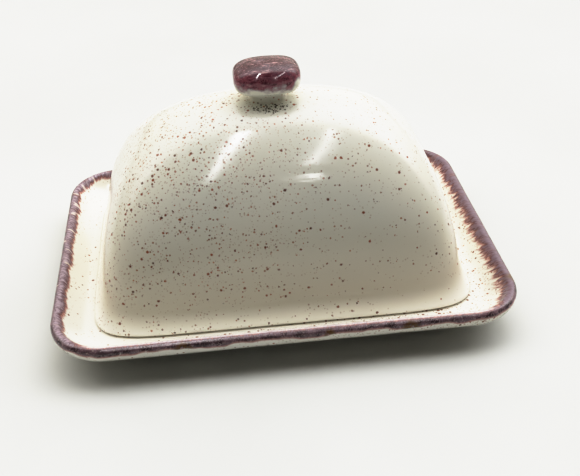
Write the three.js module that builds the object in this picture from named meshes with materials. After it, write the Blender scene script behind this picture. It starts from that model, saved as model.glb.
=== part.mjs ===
// A covered stoneware butter dish: a shallow oblong tray, a domed cover that stands
// loose on the tray's floor, and a pebble-shaped knob that is luted on to the cover.
// Millimetres. +X runs along the dish, +Y to its back, +Z up. The dish stands on z = 0,
// and its middle is on the Z axis.
import * as THREE from 'three';
import { mergeVertices } from 'three/addons/utils/BufferGeometryUtils.js';

// Tray, measured over the rim
const TRAY_LENGTH = 190;
const TRAY_WIDTH = 139;
const TRAY_CORNER = 22;
const CORNER_TIGHTENING = 0.4; // how fast the corners tighten inside the rim
const RIM_HEIGHT = 15; // height of the rim's widest line
const RIM_RADIUS = 2.2; // the rim's edge is a half round
const FLOOR_HEIGHT = 9;
const FLOOR_INSET = 13.5; // where the slope inside the rim meets the floor
const WALL_INSET = 20; // where the bowed outer wall meets the foot
const WALL_DROP = 10.5;
const FOOT_INSET = 23;
const FOOT_WIDTH = 3;
const FOOT_CHAMFER = { run: 0.6, rise: 0.8 };
const UNDERSIDE_HEIGHT = 4.2;
const UNDERSIDE_FILLET = 3;

// Cover, measured over its flared foot
const COVER_LENGTH = 159;
const COVER_WIDTH = 110;
const COVER_HEIGHT = 75.6;
const COVER_WALL = 4.8;
const FLARE = 3.6; // how far the foot stands out
const FLARE_HEIGHT = 12;
const EDGE_RADIUS = 1; // round edges of the foot
const INNER_FLARE = 2; // the hollow widens this much at the foot

// The dome's section is a rounded oblong whose corners open out to an oval at the crown.
// Its half length follows (1 - (rise / height) ** arch) ** (1 / shoulder), less the draft,
// and its half width does the same with powers of its own.
const DRAFT = 3.5; // how far a wall leans in over the whole height
const ALONG = { arch: 2.24, shoulder: 3.06 };
const ACROSS = { arch: 1.75, shoulder: 2.31 };
const CORNER_POWER_LOW = 8;
const CORNER_POWER_TOP = 2.14;

// Knob
const KNOB_LENGTH = 27.4;
const KNOB_WIDTH = 22;
const KNOB_HEIGHT = 13.4;
const KNOB_ROUNDING = { along: 3.0, across: 2.4 }; // 2 is an ellipse, more is squarer
const KNOB_CORNER_POWER = 3.0;
const NECK_LENGTH = 13.4;
const NECK_WIDTH = 10.6;
const NECK_HEIGHT = 1.7; // from the cover's crown to the knob's underside
const NECK_FILLET = { reach: 1.8, rise: 2.2 };
const KNOB_SHIFT = -1.3; // the knob is set by hand, a little left of the cover's middle

const GAP = 0.3; // between pieces that touch
const COVER_BASE = FLOOR_HEIGHT + GAP;
const CROWN = COVER_BASE + COVER_HEIGHT;

// Facets
const RING_POINTS = 64;
const DOME_STEPS = 14;
const HOLLOW_STEPS = 11;
const KNOB_STEPS = 14;
const KNOB_RING_POINTS = 40;
const TRAY_CORNER_STEPS = 8;

// A closed solid through a stack of outlines that all have the same number of points.
// Each outline turns the same way. A fan closes the first one and the last one, and its
// tip is level with the outline unless a height is given.
function loft(outlines, firstTip = outlines[0][0].z, lastTip = outlines.at(-1)[0].z) {
  const count = outlines[0].length;
  const positions = [];
  const faces = [];
  for (const outline of outlines) {
    for (const point of outline) positions.push(point.x, point.y, point.z);
  }
  for (let ring = 0; ring + 1 < outlines.length; ring += 1) {
    for (let i = 0; i < count; i += 1) {
      const here = ring * count + i;
      const next = ring * count + ((i + 1) % count);
      faces.push(here, next, next + count, here, next + count, here + count);
    }
  }
  const bottom = outlines.length * count;
  const top = bottom + 1;
  const last = (outlines.length - 1) * count;
  positions.push(0, 0, firstTip);
  positions.push(0, 0, lastTip);
  for (let i = 0; i < count; i += 1) {
    const next = (i + 1) % count;
    faces.push(bottom, next, i);
    faces.push(top, last + i, last + next);
  }
  const geometry = new THREE.BufferGeometry();
  geometry.setAttribute('position', new THREE.Float32BufferAttribute(positions, 3));
  geometry.setIndex(faces);
  return mergeVertices(geometry);
}

// The tray's outline, drawn in from its edge by an inset. The corners keep their true
// offset near the rim and tighten more slowly further in.
function trayOutline(inset, height) {
  const halfLength = TRAY_LENGTH / 2 - inset;
  const halfWidth = TRAY_WIDTH / 2 - inset;
  const rimBand = 3 * RIM_RADIUS;
  const tightening = CORNER_TIGHTENING * Math.max(0, inset - rimBand);
  const radius = TRAY_CORNER - Math.min(inset, rimBand) - tightening;
  const points = [];
  for (const [sideX, sideY, start] of [[1, 1, 0], [-1, 1, 1], [-1, -1, 2], [1, -1, 3]]) {
    for (let step = 0; step <= TRAY_CORNER_STEPS; step += 1) {
      const angle = (start + step / TRAY_CORNER_STEPS) * (Math.PI / 2);
      const x = sideX * (halfLength - radius) + radius * Math.cos(angle);
      const y = sideY * (halfWidth - radius) + radius * Math.sin(angle);
      points.push(new THREE.Vector3(x, y, height));
    }
  }
  return points;
}

// The tray's wall in section: x is the inset from the edge, y the height. It starts
// under the floor, goes round the foot, up the outside, over the rim and down to the floor.
function traySection() {
  const footInner = FOOT_INSET + FOOT_WIDTH;
  const wallEnd = RIM_HEIGHT - WALL_DROP;
  const lip = THREE.MathUtils.degToRad(35); // where the rim's round turns into the slope
  const slopeX = RIM_RADIUS * (1 + Math.cos(lip));
  const slopeY = RIM_HEIGHT + RIM_RADIUS * Math.sin(lip);
  const slopeRun = (slopeY - FLOOR_HEIGHT) * Math.tan(lip);
  const { run, rise } = FOOT_CHAMFER;
  const section = new THREE.Path();
  section.moveTo(footInner + UNDERSIDE_FILLET, UNDERSIDE_HEIGHT);
  section.quadraticCurveTo(footInner + 2 * run, UNDERSIDE_HEIGHT, footInner + run, rise);
  section.lineTo(footInner, 0);
  section.lineTo(FOOT_INSET, 0);
  section.lineTo(FOOT_INSET - run, rise);
  section.quadraticCurveTo(FOOT_INSET - 2 * run, wallEnd, WALL_INSET, wallEnd);
  section.absellipse(WALL_INSET, RIM_HEIGHT, WALL_INSET, WALL_DROP, -Math.PI / 2, -Math.PI, true);
  section.absarc(RIM_RADIUS, RIM_HEIGHT, RIM_RADIUS, Math.PI, lip, true);
  section.quadraticCurveTo(slopeX + slopeRun, FLOOR_HEIGHT, FLOOR_INSET, FLOOR_HEIGHT);
  return section.getPoints(4);
}

function trayGeometry() {
  return loft(traySection().map((point) => trayOutline(point.x, point.y)));
}

// A rounded oblong: an ellipse at power 2, squarer as the power grows.
function oblong(halfLength, halfWidth, power, height, count) {
  const points = [];
  for (let i = 0; i < count; i += 1) {
    const angle = ((i + 0.5) / count) * 2 * Math.PI;
    const cos = Math.cos(angle);
    const sin = Math.sin(angle);
    const x = halfLength * Math.sign(cos) * Math.abs(cos) ** (2 / power);
    const y = halfWidth * Math.sign(sin) * Math.abs(sin) ** (2 / power);
    points.push(new THREE.Vector3(x, y, height));
  }
  return points;
}

// One level of a dome. turn runs from 0 at the dome's spring line to 1 at its crown.
function domeOutline(turn, base, height, halfLength, halfWidth, spread) {
  const part = Math.sin((turn * Math.PI) / 2);
  const cornerPower = THREE.MathUtils.lerp(CORNER_POWER_LOW, CORNER_POWER_TOP, part);
  const flare = spread * Math.max(0, 1 - (part * height) / FLARE_HEIGHT) ** 2;
  const shrink = ({ arch, shoulder }) => (1 - part ** arch) ** (1 / shoulder);
  const alongX = (halfLength - DRAFT * part) * shrink(ALONG) + flare;
  const acrossY = (halfWidth - DRAFT * part) * shrink(ACROSS) + flare;
  return oblong(alongX, acrossY, cornerPower, base + part * height, RING_POINTS);
}

// The cover's section runs down the hollow from its crown, round the foot and up the outside.
function coverGeometry() {
  const halfLength = COVER_LENGTH / 2 - FLARE;
  const halfWidth = COVER_WIDTH / 2 - FLARE;
  const spring = COVER_BASE + EDGE_RADIUS;
  const rise = CROWN - spring;
  const outlines = [];
  for (let step = HOLLOW_STEPS - 1; step >= 0; step -= 1) {
    outlines.push(domeOutline(step / HOLLOW_STEPS, spring, rise - COVER_WALL,
      halfLength - COVER_WALL, halfWidth - COVER_WALL, INNER_FLARE));
  }
  const innerLength = halfLength - COVER_WALL + INNER_FLARE + EDGE_RADIUS;
  const innerWidth = halfWidth - COVER_WALL + INNER_FLARE + EDGE_RADIUS;
  const outerLength = COVER_LENGTH / 2 - EDGE_RADIUS;
  const outerWidth = COVER_WIDTH / 2 - EDGE_RADIUS;
  outlines.push(oblong(innerLength, innerWidth, CORNER_POWER_LOW, COVER_BASE, RING_POINTS));
  outlines.push(oblong(outerLength, outerWidth, CORNER_POWER_LOW, COVER_BASE, RING_POINTS));
  for (let step = 0; step < DOME_STEPS; step += 1) {
    outlines.push(domeOutline(step / DOME_STEPS, spring, rise, halfLength, halfWidth, FLARE));
  }
  return loft(outlines, CROWN - COVER_WALL, CROWN);
}

// The knob's neck springs from the cover with a small fillet and opens into the pebble.
function knobGeometry() {
  const foot = CROWN + GAP;
  const middle = CROWN + NECK_HEIGHT + KNOB_HEIGHT / 2;
  const outlines = [];
  for (const turn of [0, Math.PI / 4, Math.PI / 2]) {
    const fillet = NECK_FILLET.reach * (1 - Math.sin(turn));
    const rise = NECK_FILLET.rise * (1 - Math.cos(turn));
    outlines.push(oblong(NECK_LENGTH / 2 + fillet, NECK_WIDTH / 2 + fillet,
      KNOB_CORNER_POWER, foot + rise, KNOB_RING_POINTS));
  }
  const sizeAt = (level, rounding) => (1 - Math.abs(level) ** rounding) ** (1 / rounding);
  const pebbleStart = NECK_WIDTH / 2 + 1; // narrower levels of the pebble are inside the neck
  for (let step = 1; step < KNOB_STEPS; step += 1) {
    const level = Math.sin((step / KNOB_STEPS - 0.5) * Math.PI);
    const halfLength = (KNOB_LENGTH / 2) * sizeAt(level, KNOB_ROUNDING.along);
    const halfWidth = (KNOB_WIDTH / 2) * sizeAt(level, KNOB_ROUNDING.across);
    if (level > 0 || halfWidth > pebbleStart) {
      const height = middle + (KNOB_HEIGHT / 2) * level;
      outlines.push(oblong(halfLength, halfWidth, KNOB_CORNER_POWER, height, KNOB_RING_POINTS));
    }
  }
  return loft(outlines, foot, middle + KNOB_HEIGHT / 2).translate(KNOB_SHIFT, 0, 0);
}

function piece(name, geometry, color, roughness) {
  const material = new THREE.MeshStandardMaterial({ color, roughness, metalness: 0 });
  const mesh = new THREE.Mesh(geometry, material);
  mesh.name = name;
  return mesh;
}

const butterDish = new THREE.Group();
butterDish.add(piece('tray', trayGeometry(), 0xefe9d8, 0.25));
butterDish.add(piece('cover', coverGeometry(), 0xe9e6db, 0.18));
butterDish.add(piece('knob', knobGeometry(), 0x5b2a3c, 0.2));

export default butterDish;
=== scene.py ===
"""The looks of a covered stoneware butter dish: an oblong tray with a dyed rim, a domed cover
that stands loose on its floor, and a pebble knob. Metres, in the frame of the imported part."""

import math

import bpy
from mathutils import Matrix, Vector, noise


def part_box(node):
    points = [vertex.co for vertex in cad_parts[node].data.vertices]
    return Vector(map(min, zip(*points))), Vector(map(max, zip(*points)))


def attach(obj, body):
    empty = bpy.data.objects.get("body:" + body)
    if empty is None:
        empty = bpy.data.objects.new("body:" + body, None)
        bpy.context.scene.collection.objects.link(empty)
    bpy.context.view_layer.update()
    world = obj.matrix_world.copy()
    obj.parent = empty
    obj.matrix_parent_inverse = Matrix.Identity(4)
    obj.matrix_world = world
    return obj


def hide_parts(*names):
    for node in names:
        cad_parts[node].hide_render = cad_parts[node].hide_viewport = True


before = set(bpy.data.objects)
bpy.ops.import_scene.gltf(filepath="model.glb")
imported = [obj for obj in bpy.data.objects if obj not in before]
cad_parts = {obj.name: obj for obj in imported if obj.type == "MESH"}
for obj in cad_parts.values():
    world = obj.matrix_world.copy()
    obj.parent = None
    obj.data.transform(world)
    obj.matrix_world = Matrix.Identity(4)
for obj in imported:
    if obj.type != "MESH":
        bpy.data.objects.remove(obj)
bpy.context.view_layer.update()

MM = 0.001

# Sizes that the frame doesn't give, as the design has them, in millimetres
TRAY_CORNER = 22.0
SMALLEST_CORNER = 3.0
RIM_HEIGHT = 15.0
RIM_RADIUS = 2.2
FLOOR_HEIGHT = 9.0
FLOOR_INSET = 13.5
WALL_INSET = 20.0
WALL_DROP = 10.5
FOOT_INSET = 23.0
FOOT_WIDTH = 3.0
FOOT_CHAMFER_RUN = 0.6
FOOT_CHAMFER_RISE = 0.8
UNDERSIDE_HEIGHT = 4.2
UNDERSIDE_FILLET = 3.0
COVER_WALL = 4.8
FLARE = 3.6
FLARE_HEIGHT = 12.0
EDGE_RADIUS = 1.0
INNER_FLARE = 2.0
DRAFT = 3.5
NECK_LENGTH = 13.4
NECK_WIDTH = 10.6
NECK_HEIGHT = 1.7
NECK_FILLET_REACH = 1.8
NECK_FILLET_RISE = 2.2

# How far the slope inside the rim leans from upright, and how much each millimetre of inset past
# the rim takes off the corners' radius
LIP_ANGLE = math.radians(35)
CORNER_TIGHTENING = 0.4

# The powers that round the shapes. In an outline, 2 is an ellipse and more is squarer.
DOME_ALONG = (2.24, 3.06)
DOME_ACROSS = (1.75, 2.31)
CORNER_POWER_LOW = 8.0
CORNER_POWER_TOP = 2.14
KNOB_ROUNDING_ALONG = 3.0
KNOB_ROUNDING_ACROSS = 2.4
KNOB_CORNER_POWER = 3.0

# How far hand-made clay strays inwards from the true shape, in waves of what length, and a seed
TRAY_WANDER = (0.35, 45, 3)
COVER_WANDER = (0.12, 38, 11)
KNOB_WANDER = (0.25, 9, 5)

# How far the knob's left shoulder sinks below a level top
KNOB_DROOP = 1.0


def box_mm(node):
    """A node's lowest and highest corners in millimetres."""
    low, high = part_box(node)
    return low / MM, high / MM


_, TRAY_HIGH = box_mm("tray")
COVER_LOW, COVER_HIGH = box_mm("cover")
KNOB_LOW, KNOB_HIGH = box_mm("knob")

# The dome without its flare, from the top of its rounded lower edge
DOME_HALF_LENGTH = COVER_HIGH.x - FLARE
DOME_HALF_WIDTH = COVER_HIGH.y - FLARE
DOME_SPRING = COVER_LOW.z + EDGE_RADIUS
DOME_RISE = COVER_HIGH.z - DOME_SPRING


# ---------------------------------------------------------------- shapes


def lerp(a, b, share):
    return a + (b - a) * share


def wandered(point, wander, share=1.0):
    """The point drawn in towards the upright axis by up to that share of the wander's depth."""
    depth, length, seed = wander
    wave = 0.5 + 0.5 * noise.noise(point / length + Vector((seed, 0, 0)))
    reach = math.hypot(point.x, point.y)
    shrink = 1 - depth * share * min(1.0, max(0.0, wave)) / reach
    return Vector((point.x * shrink, point.y * shrink, point.z))


def loft(name, rings, low_tip, high_tip):
    """A closed smooth mesh through rings of points in millimetres, with a fan to a tip at each end."""
    count = len(rings[0])
    points = [point for ring in rings for point in ring]
    faces = []
    for ring in range(len(rings) - 1):
        for i in range(count):
            here = ring * count + i
            beside = ring * count + (i + 1) % count
            faces.append((here, beside, beside + count, here + count))
    bottom = len(points)
    top = bottom + 1
    last = (len(rings) - 1) * count
    points += [low_tip, high_tip]
    for i in range(count):
        beside = (i + 1) % count
        faces.append((bottom, beside, i))
        faces.append((top, last + i, last + beside))
    mesh = bpy.data.meshes.new(name)
    mesh.from_pydata([point * MM for point in points], [], faces)
    mesh.shade_smooth()
    piece = bpy.data.objects.new(name, mesh)
    bpy.context.scene.collection.objects.link(piece)
    return piece


def attribute(piece, name, values):
    """Stores one number for each vertex, for the materials to read."""
    layer = piece.data.attributes.new(name, "FLOAT", "POINT")
    layer.data.foreach_set("value", values)


def vector_attribute(piece, name, values):
    """Stores one vector for each vertex, for the materials to read."""
    layer = piece.data.attributes.new(name, "FLOAT_VECTOR", "POINT")
    layer.data.foreach_set("vector", [x for value in values for x in value])


def arc(centre, radii, start, end, steps):
    """Points on an elliptical arc in a section, from the start angle to the end angle."""
    points = []
    for step in range(1, steps + 1):
        angle = lerp(start, end, step / steps)
        points.append((centre[0] + radii[0] * math.cos(angle), centre[1] + radii[1] * math.sin(angle)))
    return points


def bend(start, control, end, steps):
    """Points on a quadratic curve in a section."""
    points = []
    for step in range(1, steps + 1):
        t = step / steps
        points.append(tuple(
            (1 - t) ** 2 * start[k] + 2 * t * (1 - t) * control[k] + t * t * end[k] for k in (0, 1)
        ))
    return points


# ---------------------------------------------------------------- tray


def tray_outline(inset, height):
    """The tray's outline drawn in from its edge by that inset: four rounded corners, straight sides."""
    half_length = TRAY_HIGH.x - inset
    half_width = TRAY_HIGH.y - inset
    band = 3 * RIM_RADIUS
    radius = TRAY_CORNER - min(inset, band) - CORNER_TIGHTENING * max(0.0, inset - band)
    radius = max(SMALLEST_CORNER, radius)
    corners = [(1, 1), (-1, 1), (-1, -1), (1, -1)]
    corner_steps = 28
    end_steps, long_steps = 60, 84

    def on_corner(corner, turns):
        """The point on a corner's arc, that many quarter turns round from the right."""
        side_x, side_y = corners[corner % 4]
        angle = turns * math.pi / 2
        x = side_x * (half_length - radius) + radius * math.cos(angle)
        y = side_y * (half_width - radius) + radius * math.sin(angle)
        return Vector((x, y, height))

    points = []
    for corner in range(4):
        points += [on_corner(corner, corner + step / corner_steps) for step in range(corner_steps + 1)]
        # the straight side that follows, up to the next corner's first point
        start, target = points[-1], on_corner(corner + 1, corner + 1)
        steps = long_steps if corner % 2 == 0 else end_steps
        points += [start.lerp(target, step / steps) for step in range(1, steps)]
    return points


def tray_section():
    """(inset, height) points from under the floor round the foot, over the rim and down to the floor."""
    run, rise = FOOT_CHAMFER_RUN, FOOT_CHAMFER_RISE
    foot_inner = FOOT_INSET + FOOT_WIDTH
    wall_end = RIM_HEIGHT - WALL_DROP
    slope_start = (
        RIM_RADIUS * (1 + math.cos(LIP_ANGLE)),
        RIM_HEIGHT + RIM_RADIUS * math.sin(LIP_ANGLE),
    )
    slope_run = (slope_start[1] - FLOOR_HEIGHT) * math.tan(LIP_ANGLE)
    under = (foot_inner + UNDERSIDE_FILLET, UNDERSIDE_HEIGHT)
    inner_chamfer = (foot_inner + run, rise)
    outer_chamfer = (FOOT_INSET - run, rise)
    section = [under]
    section += bend(under, (foot_inner + 2 * run, UNDERSIDE_HEIGHT), inner_chamfer, 6)
    section += bend(inner_chamfer, (foot_inner, 0), (foot_inner - run, 0), 4)
    section += [(foot_inner - FOOT_WIDTH / 2, 0), (FOOT_INSET + run, 0)]
    section += bend((FOOT_INSET + run, 0), (FOOT_INSET, 0), outer_chamfer, 4)
    section += bend(outer_chamfer, (FOOT_INSET - 2 * run, wall_end), (WALL_INSET, wall_end), 8)
    section += arc((WALL_INSET, RIM_HEIGHT), (WALL_INSET, WALL_DROP), -math.pi / 2, -math.pi, 26)
    section += arc((RIM_RADIUS, RIM_HEIGHT), (RIM_RADIUS, RIM_RADIUS), math.pi, LIP_ANGLE, 18)
    slope_foot = (slope_start[0] + slope_run, FLOOR_HEIGHT)
    section += bend(slope_start, slope_foot, (FLOOR_INSET, FLOOR_HEIGHT), 18)
    floor_step = 6.0
    floor_rings = 8
    section += [(FLOOR_INSET + floor_step * step, FLOOR_HEIGHT) for step in range(1, floor_rings + 1)]
    return section


def stroke_points(edge, downs):
    """Where the colour's brush strokes are looked up. A stroke runs across the rim, a little
    aslant: long on the inside, and no longer than it is wide on the outside."""
    slant = 0.35
    inside_drift, outside_drift = 0.3, 0.9
    points = []
    for down in downs:
        drift = down * (outside_drift if down > 0 else inside_drift)
        for i, point in enumerate(edge):
            tangent = (edge[(i + 1) % len(edge)] - edge[i - 1]).normalized()
            moved = point + tangent * slant * down
            points.append(Vector((moved.x, moved.y, drift)))
    return points


def build_tray():
    section = tray_section()
    crest = max(range(len(section)), key=lambda k: section[k][1])
    edge = tray_outline(0, RIM_HEIGHT)
    rings = []
    travelled = [0.0]
    for k, (inset, height) in enumerate(section):
        if k:
            travelled.append(travelled[-1] + math.dist(section[k - 1], section[k]))
        ring = tray_outline(inset, height)
        if height > FOOT_CHAMFER_RISE:
            ring = [wandered(point, TRAY_WANDER) for point in ring]
        rings.append(ring)
    # millimetres along the section from the crest: down the outside above 0, down the inside below
    downs = [travelled[crest] - value for value in travelled]
    low_tip, high_tip = Vector((0, 0, UNDERSIDE_HEIGHT)), Vector((0, 0, FLOOR_HEIGHT))
    piece = loft("glazed_tray", rings, low_tip, high_tip)
    attribute(piece, "down", [value for value in downs for _ in edge] + [downs[0], downs[-1]])
    vector_attribute(piece, "stroke", stroke_points(edge, downs) + [low_tip, high_tip])
    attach(piece, "tray")
    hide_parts("tray")
    return piece


# ---------------------------------------------------------------- cover


COVER_POINTS = 288
KNOB_POINTS = 144


def oblong(half_length, half_width, power, height, count):
    """A rounded oblong: an ellipse at power 2, squarer as the power grows."""
    points = []
    for i in range(count):
        angle = (i + 0.5) / count * 2 * math.pi
        cos, sin = math.cos(angle), math.sin(angle)
        reach = (abs(cos) ** power + abs(sin) ** power) ** (-1 / power)
        points.append(Vector((half_length * reach * cos, half_width * reach * sin, height)))
    return points


def dome_shape(part, wall=0.0):
    """How far the dome reaches along and across at that part of its rise, and its corners' power.
    The inside of the dome has the wall's thickness taken off."""
    length = DOME_HALF_LENGTH - wall - DRAFT * part
    width = DOME_HALF_WIDTH - wall - DRAFT * part
    along = length * (1 - part ** DOME_ALONG[0]) ** (1 / DOME_ALONG[1])
    across = width * (1 - part ** DOME_ACROSS[0]) ** (1 / DOME_ACROSS[1])
    return along, across, lerp(CORNER_POWER_LOW, CORNER_POWER_TOP, part)


def rise_part(step, steps):
    """A part of the dome's rise, in steps that crowd together towards the crown."""
    return math.sin(step / steps * math.pi / 2)


def dome_ring(part, spread, wall=0.0):
    """One level of the dome with its flare, at that part of its rise."""
    along, across, power = dome_shape(part, wall)
    lift = part * (DOME_RISE - wall)
    flare = spread * max(0.0, 1 - lift / FLARE_HEIGHT) ** 2
    return oblong(along + flare, across + flare, power, DOME_SPRING + lift, COVER_POINTS)


def rounded_edge(reach, direction, angles):
    """The rings round one side of the cover's lower edge, which is reach out from its wall."""
    rings = []
    for angle in angles:
        turn = math.radians(angle)
        out = reach - direction * EDGE_RADIUS * (1 - math.cos(turn))
        level = DOME_SPRING - EDGE_RADIUS * math.sin(turn)
        length, width = DOME_HALF_LENGTH + out, DOME_HALF_WIDTH + out
        rings.append(oblong(length, width, CORNER_POWER_LOW, level, COVER_POINTS))
    return rings


def build_cover():
    inner_steps, outer_steps = 60, 110
    rings = []
    for step in range(inner_steps - 1, 0, -1):
        rings.append(dome_ring(rise_part(step, inner_steps), INNER_FLARE, COVER_WALL))
    rings += rounded_edge(INNER_FLARE - COVER_WALL, -1, (0, 30, 60, 90))
    rings += rounded_edge(FLARE, 1, (90, 60, 30, 0))
    for step in range(1, outer_steps):
        part = rise_part(step, outer_steps)
        # the waves die away towards the lower edge, and towards the crown, where the neck grows out
        share = math.sqrt(math.sin(part * math.pi))
        ring = dome_ring(part, FLARE)
        rings.append([wandered(point, COVER_WANDER, share) for point in ring])
    low_tip, high_tip = Vector((0, 0, COVER_HIGH.z - COVER_WALL)), Vector((0, 0, COVER_HIGH.z))
    piece = loft("glazed_cover", rings, low_tip, high_tip)
    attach(piece, "cover")
    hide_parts("cover")
    return piece


# ---------------------------------------------------------------- knob


def crown_height(x, y):
    """The height of the cover's outside near its crown, found by halving between two levels."""
    low, high = 0.7, 1.0
    halvings = 30
    for _ in range(halvings):
        part = (low + high) / 2
        along, across, power = dome_shape(part)
        if abs(x / along) ** power + abs(y / across) ** power < 1:
            low = part
        else:
            high = part
    return DOME_SPRING + low * DOME_RISE


def shrunk(level, rounding):
    """How much of its full size the pebble has at a level, from -1 underneath to 1 on top."""
    return (1 - abs(level) ** rounding) ** (1 / rounding)


def build_knob():
    centre = (KNOB_LOW + KNOB_HIGH) / 2
    half_length = (KNOB_HIGH.x - KNOB_LOW.x) / 2
    underside = COVER_HIGH.z + NECK_HEIGHT
    half_height = (KNOB_HIGH.z - underside) / 2
    middle = underside + half_height
    sunk = 0.15
    neck_clearance = 0.6
    fillet_steps = 8
    steps = 72
    rings = []
    for step in range(fillet_steps + 1):
        share = step / fillet_steps
        turn = share * math.pi / 2
        grow = NECK_FILLET_REACH * (1 - math.sin(turn))
        lift = NECK_FILLET_RISE * (1 - math.cos(turn))
        ring = oblong(NECK_LENGTH / 2 + grow, NECK_WIDTH / 2 + grow, KNOB_CORNER_POWER, 0, KNOB_POINTS)
        for point in ring:
            point.x += centre.x
            on_dome = crown_height(point.x, point.y) + lift - sunk
            point.z = lerp(on_dome, COVER_HIGH.z + lift, share)
        rings.append(ring)
    for step in range(1, steps):
        level = math.sin((step / steps - 0.5) * math.pi)
        along = half_length * shrunk(level, KNOB_ROUNDING_ALONG)
        across = KNOB_HIGH.y * shrunk(level, KNOB_ROUNDING_ACROSS)
        if level > 0 or across > NECK_WIDTH / 2 + neck_clearance:
            ring = oblong(along, across, KNOB_CORNER_POWER, middle + half_height * level, KNOB_POINTS)
            ring = [wandered(point, KNOB_WANDER, across / KNOB_HIGH.y) for point in ring]
            for point in ring:
                leftward = max(0.0, -point.x / half_length)
                point.z -= KNOB_DROOP * max(0.0, level) * leftward ** 1.5
            rings.append([point + Vector((centre.x, 0, 0)) for point in ring])
    low_tip = Vector((centre.x, 0, COVER_HIGH.z - 1))  # hidden inside the cover's crown
    high_tip = Vector((centre.x, 0, KNOB_HIGH.z))
    piece = loft("glazed_knob", rings, low_tip, high_tip)
    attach(piece, "cover")
    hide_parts("knob")
    return piece


# ---------------------------------------------------------------- materials


def srgb(red, green, blue):
    """A colour given as it looks on a screen, 0 to 255, as the shader's linear colour."""
    def linear(value):
        value /= 255
        return value / 12.92 if value <= 0.04045 else ((value + 0.055) / 1.055) ** 2.4
    return (linear(red), linear(green), linear(blue), 1.0)


class Graph:
    """A node tree, with short calls that add nodes and link them."""

    def __init__(self, tree):
        self.tree = tree

    def put(self, value, socket):
        """Links an output to a socket, or sets the socket to a number or colour."""
        if isinstance(value, bpy.types.NodeSocket):
            self.tree.links.new(value, socket)
        else:
            socket.default_value = value

    def add(self, kind, sockets, **settings):
        node = self.tree.nodes.new("ShaderNode" + kind)
        for name, value in settings.items():
            setattr(node, name, value)
        for socket, value in sockets.items():
            self.put(value, node.inputs[socket])
        return node

    def math(self, operation, a, b=0.0):
        return self.add("Math", {0: a, 1: b}, operation=operation).outputs[0]

    def ramp(self, value, low, high, start=0.0, end=1.0):
        """An S curve from start, where the value is low, to end, where it is high."""
        sockets = {0: value, 1: low, 2: high, 3: start, 4: end}
        return self.add("MapRange", sockets, interpolation_type="SMOOTHSTEP").outputs[0]

    def blend(self, share, a, b):
        return self.add("Mix", {0: share, 6: a, 7: b}, data_type="RGBA").outputs[2]

    def place(self):
        """The point on the piece, in millimetres of the shared frame."""
        point = self.add("TexCoord", {}).outputs["Object"]
        return self.scaled(point, (1000, 1000, 1000))

    def scaled(self, vector, factors):
        return self.add("VectorMath", {0: vector, 1: factors}, operation="MULTIPLY").outputs[0]

    def moved(self, vector, offset):
        return self.add("VectorMath", {0: vector, 1: offset}, operation="ADD").outputs[0]

    def axes(self, vector):
        return self.add("SeparateXYZ", {0: vector}).outputs

    def attribute(self, name, output="Fac"):
        return self.add("Attribute", {}, attribute_name=name).outputs[output]

    def noise(self, vector, size, detail=2.0, roughness=0.5):
        """Soft noise about 0.5 with features of that size in millimetres."""
        sockets = {"Vector": vector, "Scale": 1 / size, "Detail": detail, "Roughness": roughness}
        return self.add("TexNoise", sockets).outputs[0]

    def sum(self, *values):
        total = values[0]
        for value in values[1:]:
            total = self.math("ADD", total, value)
        return total

    def patch(self, vector, centre, reach, feather=0.5):
        """1 near a point and 0 further from it than the reach, which differs along each axis."""
        offset = self.moved(vector, tuple(-value for value in centre))
        offset = self.scaled(offset, tuple(1 / value for value in reach))
        away = self.add("VectorMath", {0: offset}, operation="LENGTH").outputs["Value"]
        return self.ramp(away, 1.0, feather)

    def product(self, *values):
        total = values[0]
        for value in values[1:]:
            total = self.math("MULTIPLY", total, value)
        return total


class Material(Graph):
    """A new material's node tree and its shader."""

    def __init__(self, name):
        self.material = bpy.data.materials.new(name)
        self.material.use_nodes = True
        super().__init__(self.material.node_tree)
        self.shader = self.tree.nodes["Principled BSDF"]


def specks(graph, place, spacing, radii, share, crowd):
    """Round specks of mixed sizes, 1 in their middle. One fits in each cell of that spacing,
    and a cell holds one with the chance share times crowd. Returns their strength and a tone."""
    cells = graph.add("TexVoronoi", {"Vector": place, "Scale": 1 / spacing})
    size, chance, tone = graph.add("SeparateColor", {0: cells.outputs["Color"]}).outputs
    reach = graph.ramp(size, 0, 1, radii[0] / spacing, radii[1] / spacing)
    core = graph.math("MULTIPLY", reach, 0.5)
    inside = graph.ramp(cells.outputs["Distance"], core, reach, 1.0, 0.0)
    present = graph.math("LESS_THAN", chance, graph.math("MULTIPLY", crowd, share))
    return graph.math("MULTIPLY", inside, present), tone


def stoneware_glaze(graph, place, crowd, color):
    """Adds iron specks under a clear off-white glaze. Returns the colour and the specks' strength."""
    wander = graph.add("TexNoise", {"Vector": place, "Scale": 1.6, "Detail": 1.0}).outputs["Color"]
    ragged = graph.moved(graph.scaled(wander, (0.45, 0.45, 0.45)), place)
    clumps = graph.ramp(graph.noise(place, 7.0, 3.0), 0.32, 0.68, 0.35, 1.6)
    crowd = graph.math("MULTIPLY", crowd, clumps)
    faint, _ = specks(graph, ragged, 1.05, (0.26, 0.46), 0.60, crowd)
    small, small_tone = specks(graph, graph.moved(ragged, (31, 7, 3)), 1.5, (0.30, 0.56), 0.55, crowd)
    large, large_tone = specks(graph, graph.moved(ragged, (5, 43, 17)), 2.3, (0.44, 0.78), 0.48, crowd)
    color = graph.blend(graph.math("MULTIPLY", faint, 0.36), color, srgb(158, 122, 88))
    rust = graph.blend(small_tone, srgb(112, 62, 38), srgb(186, 124, 86))
    color = graph.blend(graph.math("MULTIPLY", small, 0.80), color, rust)
    iron = graph.blend(large_tone, srgb(82, 38, 20), srgb(160, 84, 46))
    color = graph.blend(graph.math("MULTIPLY", large, 0.92), color, iron)
    return color, graph.math("MAXIMUM", small, large)


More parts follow.
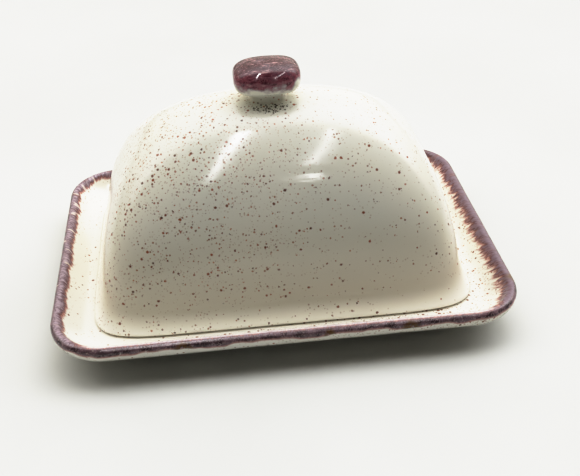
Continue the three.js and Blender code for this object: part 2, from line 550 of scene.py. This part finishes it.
def gloss(graph, place, color, height, matt=0.0, smoothest=0.07):
    """A glassy skin that ripples faintly, and that matt areas don't have."""
    graph.put(color, graph.shader.inputs["Base Color"])
    uneven = graph.ramp(graph.noise(place, 14.0, 3.0), 0.3, 0.7, smoothest, smoothest + 0.06)
    if isinstance(matt, bpy.types.NodeSocket):
        uneven = graph.sum(uneven, graph.math("MULTIPLY", matt, 0.55))
    graph.put(uneven, graph.shader.inputs["Roughness"])
    graph.shader.inputs["IOR"].default_value = 1.52
    ripple = graph.math("MULTIPLY", graph.noise(place, 5.0, 2.0), 0.05)
    total = graph.sum(ripple, height)
    bump = graph.add("Bump", {"Height": total, "Distance": MM, "Strength": 0.6})
    graph.put(bump.outputs[0], graph.shader.inputs["Normal"])


BARE_CLAY = srgb(205, 188, 160)


def cover_material():
    graph = Material("speckled_glaze")
    place = graph.place()
    x, _, z = graph.axes(place)
    leftward = graph.ramp(x, 32, -48, 0.46, 1.6)
    upward = graph.ramp(z, 30, 80, 0.60, 1.10)
    crowd = graph.product(leftward, upward, graph.ramp(z, 12, 26, 0.5, 1.0))
    tint = graph.ramp(graph.noise(place, 45.0, 2.0), 0.3, 0.7)
    base = graph.blend(tint, srgb(236, 234, 223), srgb(231, 232, 223))
    # painted shade: the glaze made darker and warmer towards the bottom of the dome
    base = graph.blend(graph.ramp(z, 62, 26), base, srgb(226, 220, 204))
    # painted light: the flare at the foot made lighter, where it turns up towards the light
    painted_foot_light = graph.ramp(z, COVER_LOW.z + FLARE_HEIGHT, COVER_LOW.z)
    base = graph.blend(painted_foot_light, base, srgb(252, 250, 241))
    color, dark = stoneware_glaze(graph, place, crowd, base)
    gathered = graph.patch(place, (-1.0, -10.0, COVER_HIGH.z), (8.5, 4.2, 5), 0.6)
    cluster, _ = specks(graph, graph.moved(place, (13, 2, 29)), 0.95, (0.46, 0.60), 1.0, gathered)
    color = graph.blend(graph.math("MULTIPLY", cluster, 0.95), color, srgb(54, 34, 16))
    bare = graph.ramp(z, COVER_LOW.z + 0.3, COVER_LOW.z + 0.15)
    color = graph.blend(bare, color, BARE_CLAY)
    lines = graph.noise(graph.scaled(place, (0.14, 0.14, 1.5)), 1.1, 1.0)
    height = graph.sum(graph.math("MULTIPLY", dark, -0.03), graph.math("MULTIPLY", lines, 0.035))
    gloss(graph, place, color, height, bare, 0.11)
    return graph.material


def rim_tone(graph, place, stroke, down, inner, outer):
    """The colours across the rim: rusty feathers inside, then plum, mauve and lavender at the
    crest, the lavender partly a painted sheen that is paler on the left, and dark plum with a
    rusty lower edge outside. The near side has a painted highlight, a thin pale line along its crest."""
    x, y, _ = graph.axes(place)
    streaks = graph.noise(stroke, 0.8, 3.0, 0.6)
    feathers = graph.ramp(streaks, 0.3, 0.7, -0.9, 0.9)
    rightward = graph.ramp(x, -60, 80)
    deep = graph.math("DIVIDE", graph.sum(inner, feathers), graph.ramp(rightward, 0, 1, 0.85, 1.7))
    rust = graph.blend(streaks, srgb(138, 78, 74), srgb(200, 150, 140))
    umber = graph.blend(graph.ramp(streaks, 0.35, 0.65), srgb(76, 38, 46), srgb(130, 84, 84))
    mauve = graph.blend(graph.ramp(streaks, 0.3, 0.7), srgb(98, 70, 86), srgb(126, 102, 116))
    # the lavender at the crest is part thinner dye and part painted sheen, paler on the left
    pale = graph.blend(rightward, srgb(158, 142, 154), srgb(116, 98, 116))
    lavender = graph.blend(graph.ramp(streaks, 0.3, 0.65), mauve, pale)
    tone = graph.blend(graph.ramp(deep, 0.5, 1.5), rust, umber)
    tone = graph.blend(graph.ramp(deep, 1.3, 2.6), tone, mauve)
    tone = graph.blend(graph.ramp(deep, 2.3, 4.0), tone, lavender)
    pooled = graph.product(graph.ramp(graph.noise(stroke, 5.0, 1.0), 0.52, 0.66),
                           graph.ramp(y, 0, 60, 0.25, 0.85))
    tone = graph.blend(pooled, tone, umber)

    grain = graph.noise(place, 0.6, 2.0, 0.6)
    blots = graph.ramp(graph.noise(place, 4.0, 3.0), 0.4, 0.62)
    plum = graph.blend(blots, srgb(58, 34, 46), srgb(116, 90, 100))
    pale_grains = graph.math("MULTIPLY", graph.ramp(grain, 0.50, 0.68), 0.5)
    plum = graph.blend(pale_grains, plum, srgb(184, 158, 160))
    tone = graph.blend(graph.ramp(down, 0.5, 1.5), tone, plum)
    edge = graph.blend(grain, srgb(150, 96, 94), srgb(206, 160, 152))
    tone = graph.blend(graph.ramp(outer, 1.2, 0.3), tone, edge)

    # painted highlight: a thin, grainy pale line along the crest, on the near side only
    crest = graph.product(graph.ramp(down, -1.7, -0.9), graph.ramp(down, 0.5, -0.3))
    crest = graph.product(crest, graph.ramp(y, -64, -67.5), graph.ramp(grain, 0.3, 0.55, 0.55, 0.95))
    return graph.blend(crest, tone, srgb(222, 214, 220))


# Where the kiln left golden-brown spots on the rim, and how far each spreads along it
RIM_SPOTS = (
    ((-43, -69, 14), 5.2),
    ((14, -69, 14), 3.2),
    ((46, -69, 14), 5.2),
    ((94, -47, 15), 4.2),
)


def tray_material():
    graph = Material("rim_dyed_glaze")
    place = graph.place()
    down = graph.attribute("down")
    stroke = graph.attribute("stroke", "Vector")
    x, y, z = graph.axes(place)
    crowd = graph.ramp(x, -60, 70, 0.32, 1.5)
    warmth = graph.ramp(graph.noise(place, 30.0), 0.3, 0.7)
    base = graph.blend(warmth, srgb(236, 234, 225), srgb(233, 230, 219))
    color, dark = stoneware_glaze(graph, place, crowd, base)

    # the band of colour along the rim: how far it reaches inwards and down the outside
    ragged = graph.ramp(graph.noise(stroke, 1.5, 3.0, 0.55), 0.3, 0.7, -1.2, 1.2)
    waves = graph.ramp(graph.noise(stroke, 8.0, 2.0), 0.3, 0.7, -0.7, 0.7)
    looser = graph.ramp(x, -60, 80, 0.45, 1.3)
    reach_in = graph.product(graph.ramp(x, -60, 80, 4.1, 6.4), graph.ramp(y, -67.5, -58, 0.22, 1.0))
    feathering = graph.sum(waves, graph.product(ragged, looser))
    inner = graph.sum(down, reach_in, graph.product(feathering, graph.ramp(y, -67.5, -58, 0.35, 1.0)))
    sag = graph.ramp(graph.noise(stroke, 9.0, 1.5), 0.3, 0.7, 3.5, 4.9)
    outer = graph.math("SUBTRACT", sag, down)
    fade = graph.math("DIVIDE", inner, graph.ramp(x, -60, 80, 0.9, 2.4))
    band = graph.math("MULTIPLY", graph.ramp(fade, -0.6, 0.9), graph.ramp(outer, -0.3, 0.5))
    tone = rim_tone(graph, place, stroke, down, inner, outer)

    # a few thin breaks where the pale glaze shows through, on the left side only
    breaks = graph.ramp(graph.noise(stroke, 2.6, 1.0), 0.67, 0.72)
    breaks = graph.product(breaks, graph.ramp(x, -40, -70), 0.75)
    tone = graph.blend(breaks, tone, srgb(214, 200, 192))
    wet = graph.noise(place, 1.6, 2.0)
    for centre, reach in RIM_SPOTS:
        spot = graph.patch(place, centre, (reach, reach, 4.0), 0.4)
        spot = graph.product(spot, graph.ramp(wet, 0.28, 0.46))
        tone = graph.blend(spot, tone, graph.blend(wet, srgb(44, 26, 4), srgb(124, 82, 24)))
    color = graph.blend(graph.math("MULTIPLY", band, 0.97), color, tone)

    bare = graph.ramp(z, 0.35, 0.2)
    color = graph.blend(bare, color, BARE_CLAY)
    fine = graph.noise(place, 0.7, 2.0)
    height = graph.sum(graph.math("MULTIPLY", dark, -0.03), graph.product(band, fine, 0.10))
    gloss(graph, place, color, height, graph.sum(bare, graph.math("MULTIPLY", band, 0.16)))
    return graph.material


def knob_material():
    graph = Material("brushed_plum_glaze")
    place = graph.place()
    _, y, z = graph.axes(place)
    crowd = graph.ramp(z, KNOB_LOW.z + 6, KNOB_LOW.z + 1, 0.25, 0.6)
    color, dark = stoneware_glaze(graph, place, crowd, srgb(234, 232, 220))

    # where the plum glaze was dipped to: a hazy, uneven line that stays high at one corner
    strokes = graph.noise(graph.scaled(place, (0.26, 1.0, 1.0)), 1.2, 4.0, 0.62)
    wash = graph.noise(graph.moved(place, (9, 4, 2)), 4.0, 3.0)
    missed = graph.patch(place, (KNOB_HIGH.x - 1.5, -7, KNOB_LOW.z + 7.0), (4.2, 5, 4.6), 0.1)
    dip = KNOB_LOW.z + 6.4
    edge = graph.sum(
        z,
        graph.ramp(wash, 0.3, 0.7, -1.2, 1.2),
        graph.ramp(strokes, 0.3, 0.7, -0.5, 0.5),
        graph.math("MULTIPLY", missed, -4.5),
    )
    haze = graph.ramp(edge, dip - 2.0, dip + 0.6)
    dipped = graph.ramp(edge, dip - 0.6, dip + 2.0)
    color = graph.blend(graph.math("MULTIPLY", haze, 0.65), color, srgb(136, 110, 132))

    # dark and red on the front, brushed with pale pink and grey on the top and back
    leaning = graph.sum(z, graph.math("MULTIPLY", y, 0.35))
    upper = graph.ramp(leaning, KNOB_LOW.z + 6.5, KNOB_LOW.z + 12.5)
    plum = graph.blend(graph.ramp(strokes, 0.36, 0.54), srgb(86, 34, 50), srgb(144, 84, 98))
    blush = graph.ramp(graph.noise(place, 2.2, 3.0, 0.6), 0.50, 0.68)
    plum = graph.blend(graph.math("MULTIPLY", blush, 0.7), plum, srgb(166, 102, 112))
    # painted shade: the plum darkened on the top and back
    plum = graph.blend(graph.math("MULTIPLY", upper, 0.8), plum, srgb(40, 12, 24))
    grey = graph.ramp(graph.noise(graph.scaled(place, (0.45, 1, 1)), 2.4, 3.0), 0.50, 0.66)
    greyed = graph.product(grey, graph.ramp(upper, 0, 1, 0.45, 0.5))
    plum = graph.blend(greyed, plum, srgb(112, 94, 106))
    pink = graph.ramp(strokes, 0.56, 0.68)
    brushed = graph.product(pink, graph.ramp(upper, 0, 1, 0.45, 0.85))
    plum = graph.blend(brushed, plum, srgb(206, 168, 170))
    mottle = graph.ramp(graph.noise(place, 0.7, 2.0), 0.54, 0.68)
    plum = graph.blend(graph.math("MULTIPLY", mottle, 0.55), plum, srgb(178, 128, 136))
    color = graph.blend(graph.math("MULTIPLY", dipped, 0.97), color, plum)
    gloss(graph, place, color, graph.math("MULTIPLY", dark, -0.03), smoothest=0.02)
    graph.shader.inputs["Specular IOR Level"].default_value = 0.36
    return graph.material


# ---------------------------------------------------------------- studio


def floor_material():
    graph = Material("pale_table")
    cloud = graph.ramp(graph.noise(graph.place(), 120.0, 3.0), 0.3, 0.7)
    color = graph.blend(cloud, srgb(206, 208, 207), srgb(211, 213, 212))
    graph.put(color, graph.shader.inputs["Base Color"])
    graph.shader.inputs["Roughness"].default_value = 0.6
    graph.shader.inputs["Specular IOR Level"].default_value = 0.2
    return graph.material


def build_floor():
    half = 3.0
    mesh = bpy.data.meshes.new("floor")
    corners = [(-half, -half, 0), (half, -half, 0), (half, half, 0), (-half, half, 0)]
    mesh.from_pydata(corners, [], [(0, 1, 2, 3)])
    floor = bpy.data.objects.new("floor", mesh)
    bpy.context.scene.collection.objects.link(floor)
    floor.data.materials.append(floor_material())


def build_tubes():
    """Long ceiling lights that only show as reflections in the glaze."""
    height = 2.0
    slant = 0.17
    # name: (sideways place, near end, far end, width, radiance, how widely it shines in degrees)
    tubes = {
        "left_tube": (-0.054, -2.1, -0.11, 0.08, 22.0, 120),
        "right_tube": (0.70, -1.9, -0.11, 0.06, 24.0, 160),
        "right_tube_end": (0.89, -2.75, -2.45, 0.06, 50.0, 170),
    }
    for name, (offset, near, far, width, radiance, spread) in tubes.items():
        light = bpy.data.lights.new(name, "AREA")
        light.shape = "RECTANGLE"
        light.size = width
        light.size_y = math.hypot(near - far, slant * (near - far))
        light.energy = radiance * math.pi * light.size * light.size_y
        light.spread = math.radians(spread)
        lamp = bpy.data.objects.new(name, light)
        bpy.context.scene.collection.objects.link(lamp)
        middle = (near + far) / 2
        lamp.location = (offset + slant * middle, middle, height)
        lamp.rotation_euler = (0, 0, -math.atan(slant))
        lamp.visible_diffuse = False


def build_world():
    """A room lit softly from above and behind, that the camera itself sees as an even pale tone."""
    peak = 4.4
    warm_fill = 0.04
    pale_room = 0.85
    world = bpy.data.worlds.new("room")
    world.use_nodes = True
    graph = Graph(world.node_tree)
    background = world.node_tree.nodes["Background"]
    direction = graph.add("TexCoord", {}).outputs["Generated"]
    x, y, z = graph.axes(direction)
    # tilt runs from -1 at the front horizon through 0 overhead to 1 at the back horizon
    height_and_depth = graph.sum(graph.math("MULTIPLY", y, y), graph.math("MULTIPLY", z, z))
    tilt = graph.math("DIVIDE", y, graph.math("SQRT", height_and_depth))
    front_dark, front_lit, back_lit, back_dim = -0.14, 0.17, 0.34, 0.94
    dim = 0.3
    from_behind = graph.product(
        graph.ramp(tilt, front_dark, front_lit),
        graph.ramp(tilt, back_dim, back_lit, dim, 1.0),
    )
    sideways = graph.math("ABSOLUTE", x)
    middle = graph.ramp(sideways, 1.0, 0.75, dim, 1.0)
    rightward = graph.ramp(x, -0.6, 0.6, 0.8, 1.3)
    above = graph.ramp(z, 0.0, 0.12)
    soft = graph.product(from_behind, middle, rightward, above)
    strength = graph.sum(graph.math("MULTIPLY", soft, peak), warm_fill)
    seen = graph.add("LightPath", {}).outputs["Is Camera Ray"]
    strength = graph.add("Mix", {0: seen, 2: strength, 3: pale_room}).outputs[0]
    glow = graph.math("MAXIMUM", soft, seen)
    color = graph.blend(glow, (1.0, 0.90, 0.72, 1.0), (1.0, 1.0, 1.0, 1.0))
    graph.put(color, background.inputs["Color"])
    graph.put(strength, background.inputs["Strength"])
    bpy.context.scene.world = world


def build_camera():
    azimuth, elevation, roll = (math.radians(a) for a in (-6.22, 34.89, -1.335))
    target = Vector((6.44, -2.41, RIM_HEIGHT)) * MM
    distance = 0.387
    back = Vector((
        math.sin(azimuth) * math.cos(elevation),
        -math.cos(azimuth) * math.cos(elevation),
        math.sin(elevation),
    ))
    right = (-back).cross(Vector((0, 0, 1))).normalized()
    up = back.cross(right)
    turn = Matrix.Rotation(roll, 3, back)
    right, up = turn @ right, turn @ up
    data = bpy.data.cameras.new("camera")
    data.lens = 53.37
    data.sensor_width = 36
    data.clip_start = 0.01
    camera = bpy.data.objects.new("camera", data)
    bpy.context.scene.collection.objects.link(camera)
    rotation = Matrix((right, up, back)).transposed()
    camera.matrix_world = Matrix.Translation(target + back * distance) @ rotation.to_4x4()
    bpy.context.scene.camera = camera


def camera_contrast():
    """A phone camera's contrast: deeper shadows, and bright tones that level off below white."""
    view = bpy.context.scene.view_settings
    view.view_transform = "Standard"
    view.gamma = 0.77
    brightest = 2.0
    view.use_curve_mapping = True
    curves = view.curve_mapping
    curves.white_level = (brightest, brightest, brightest)
    # light that reaches the camera, and how bright it is shown
    shown = ((0.4, 0.4), (0.8, 0.79), (1.0, 0.9), (1.3, 0.95))
    curve = curves.curves[3]
    curve.points[1].location = (1.0, 0.98)
    for light, tone in shown:
        curve.points.new(light / brightest, tone)
    curves.update()


tray = build_tray()
cover = build_cover()
knob = build_knob()
tray.data.materials.append(tray_material())
cover.data.materials.append(cover_material())
knob.data.materials.append(knob_material())
build_floor()
build_tubes()
build_world()
build_camera()
camera_contrast()
